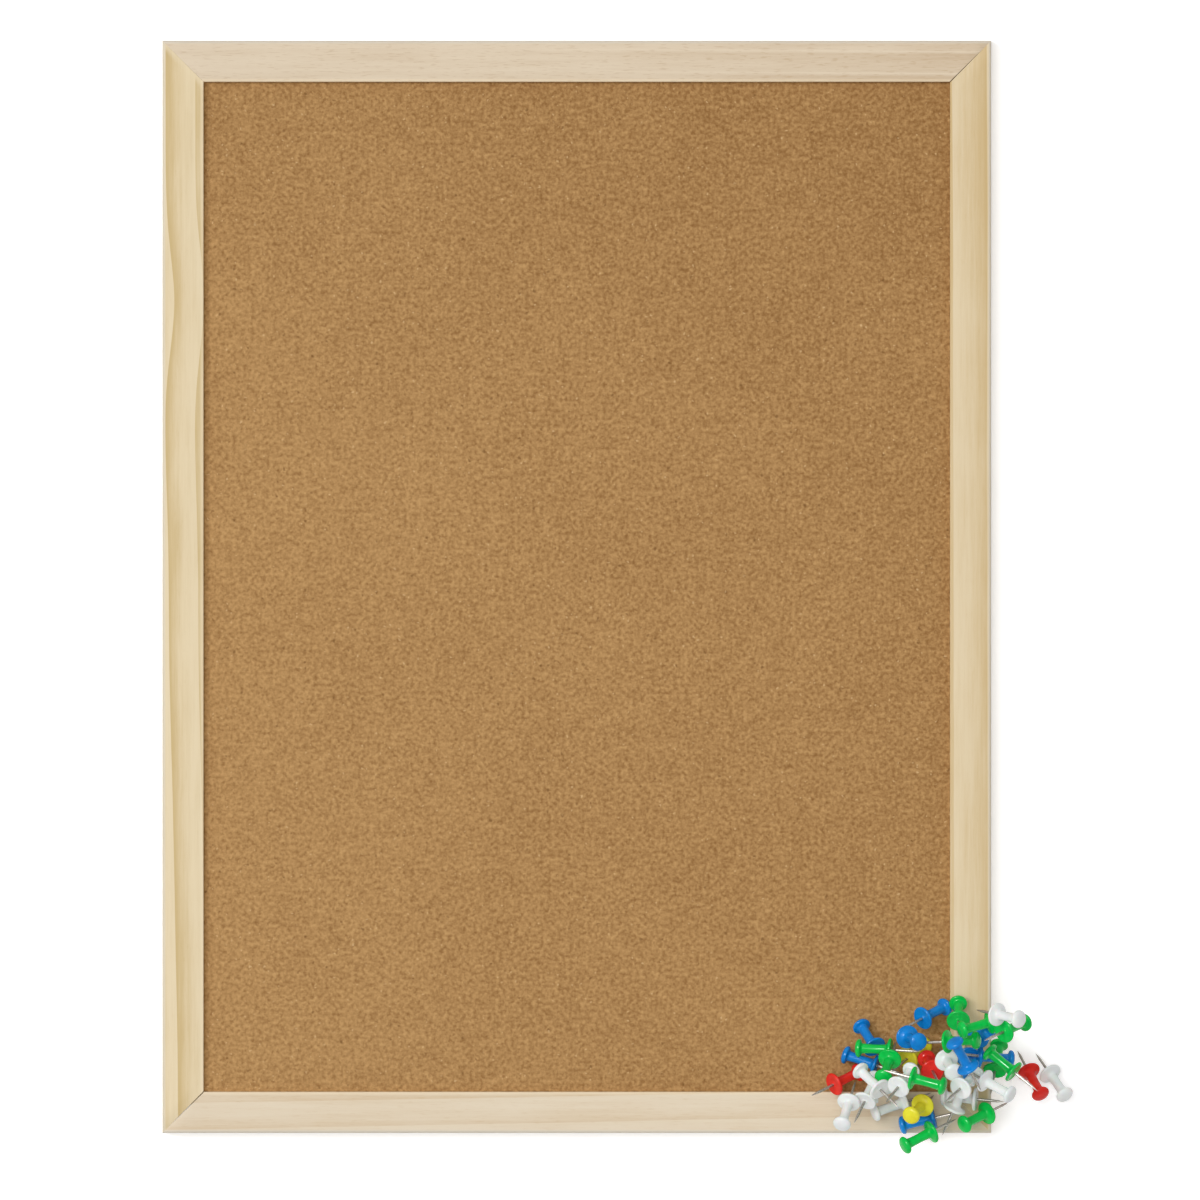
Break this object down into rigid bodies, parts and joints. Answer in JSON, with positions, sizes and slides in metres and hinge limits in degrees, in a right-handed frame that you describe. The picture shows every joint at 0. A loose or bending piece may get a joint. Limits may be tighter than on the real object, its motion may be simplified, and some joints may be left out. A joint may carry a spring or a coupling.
{
  "type": "framed cork board with push pins",
  "caption": "Flat cork notice board in a mitred pine frame, with hanging plates behind and a loose heap of spool-shaped push pins on its lower right corner.",
  "frame": {"origin": "middle of the cork's front face", "axes": "+X to the right and +Y up across the face, +Z straight out of the cork. The board lies on its back."},
  "size_m": [0.3319, 0.4055, 0.0688],
  "materials": {
    "pine": "bare planed pine",
    "cork": "fine pressed cork granules",
    "softboard": "pressed fibre",
    "backing_paper": "kraft paper",
    "plate_steel": "zinc plated",
    "screw_steel": "zinc plated",
    "needle_steel": "polished steel wire",
    "pin_green": "glossy moulded",
    "pin_blue": "glossy moulded",
    "pin_yellow": "glossy moulded",
    "pin_red": "glossy moulded",
    "pin_white": "slightly translucent moulded"
  },
  "bodies": {
    "board": {"rail_top": "pine", "rail_bottom": "pine", "rail_left": "pine", "rail_right": "pine", "cork_sheet": "cork", "softboard_core": "softboard", "backing_paper": "backing_paper", "hanging_plate_left": "plate_steel", "hanging_plate_right": "plate_steel", "plate_screw_left_1": "screw_steel", "plate_screw_left_2": "screw_steel", "plate_screw_right_1": "screw_steel", "plate_screw_right_2": "screw_steel", "pin_blue_1": "pin_blue", "pin_blue_2": "pin_blue", "pin_blue_3": "pin_blue", "pin_blue_4": "pin_blue", "pin_blue_5": "pin_blue", "pin_blue_6": "pin_blue", "pin_blue_7": "pin_blue", "pin_blue_8": "pin_blue", "pin_green_1": "pin_green", "pin_green_2": "pin_green", "pin_green_3": "pin_green", "pin_green_4": "pin_green", "pin_green_5": "pin_green", "pin_green_7": "pin_green", "pin_green_8": "pin_green", "pin_red_1": "pin_red", "pin_red_2": "pin_red", "pin_red_3": "pin_red", "pin_white_1": "pin_white", "pin_white_2": "pin_white", "pin_white_3": "pin_white", "pin_white_4": "pin_white", "pin_white_5": "pin_white", "pin_white_6": "pin_white", "pin_white_9": "pin_white", "pin_white_10": "pin_white", "pin_white_11": "pin_white", "pin_white_12": "pin_white", "pin_yellow_1": "pin_yellow"},
    "loose_pin_white_7": {"pin_white_7_head": "pin_white", "pin_white_7_needle": "needle_steel"},
    "loose_pin_white_8": {"pin_white_8_head": "pin_white", "pin_white_8_needle": "needle_steel"},
    "loose_pin_white_13": {"pin_white_13_head": "pin_white", "pin_white_13_needle": "needle_steel"},
    "loose_pin_yellow_2": {"pin_yellow_2_head": "pin_yellow", "pin_yellow_2_needle": "needle_steel"},
    "loose_pin_green_6": {"pin_green_6_head": "pin_green", "pin_green_6_needle": "needle_steel"},
    "loose_pin_green_9": {"pin_green_9_head": "pin_green", "pin_green_9_needle": "needle_steel"},
    "loose_pin_green_10": {"pin_green_10_head": "pin_green", "pin_green_10_needle": "needle_steel"},
    "loose_pin_green_11": {"pin_green_11_head": "pin_green", "pin_green_11_needle": "needle_steel"},
    "loose_pin_blue_9": {"pin_blue_9_head": "pin_blue", "pin_blue_9_needle": "needle_steel"}
  },
  "joints": [
    {"name": "lift_white_7", "type": "slide", "parent": "board", "child": "loose_pin_white_7", "axis": [0, 0, 1], "range_m": [0, 0.05]},
    {"name": "lift_white_8", "type": "slide", "parent": "board", "child": "loose_pin_white_8", "axis": [0, 0, 1], "range_m": [0, 0.05]},
    {"name": "lift_white_13", "type": "slide", "parent": "board", "child": "loose_pin_white_13", "axis": [0, 0, 1], "range_m": [0, 0.05]},
    {"name": "lift_yellow_2", "type": "slide", "parent": "board", "child": "loose_pin_yellow_2", "axis": [0, 0, 1], "range_m": [0, 0.05]},
    {"name": "lift_green_6", "type": "slide", "parent": "board", "child": "loose_pin_green_6", "axis": [0, 0, 1], "range_m": [0, 0.05]},
    {"name": "lift_green_9", "type": "slide", "parent": "board", "child": "loose_pin_green_9", "axis": [0, 0, 1], "range_m": [0, 0.05]},
    {"name": "lift_green_10", "type": "slide", "parent": "board", "child": "loose_pin_green_10", "axis": [0, 0, 1], "range_m": [0, 0.05]},
    {"name": "lift_green_11", "type": "slide", "parent": "board", "child": "loose_pin_green_11", "axis": [0, 0, 1], "range_m": [0, 0.05]},
    {"name": "lift_blue_9", "type": "slide", "parent": "board", "child": "loose_pin_blue_9", "axis": [0, 0, 1], "range_m": [0, 0.05]}
  ]
}
